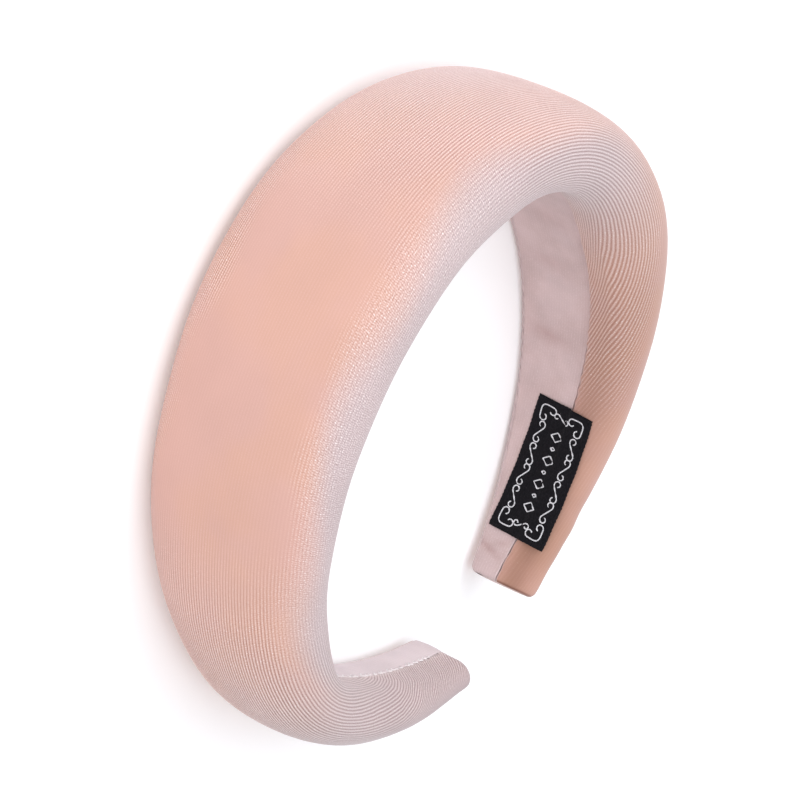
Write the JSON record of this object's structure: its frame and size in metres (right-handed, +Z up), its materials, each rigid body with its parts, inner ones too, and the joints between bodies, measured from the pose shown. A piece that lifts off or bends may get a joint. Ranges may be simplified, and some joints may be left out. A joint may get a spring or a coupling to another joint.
{
  "type": "padded headband",
  "caption": "Open hair hoop padded with foam and covered in fine-ribbed velvet, wide and plump at the crown and narrow at the tips, lined along its inner face.",
  "frame": {"origin": "centre of the bounding box, on the surface that the band lies on", "axes": "+Z up, across the band's width; +Y from the crown towards the tips; +X towards the arm without the label"},
  "size_m": [0.156, 0.1634, 0.0499],
  "materials": {
    "cover_velvet": "salmon pink velvet with fine cords along the band",
    "lining_velvet": "plain dusty pink velvet",
    "label_weave": "black woven ribbon with a pale woven border"
  },
  "bodies": {
    "root": {"padded_band": "cover_velvet", "lining": "lining_velvet", "label": "label_weave"}
  },
  "joints": []
}
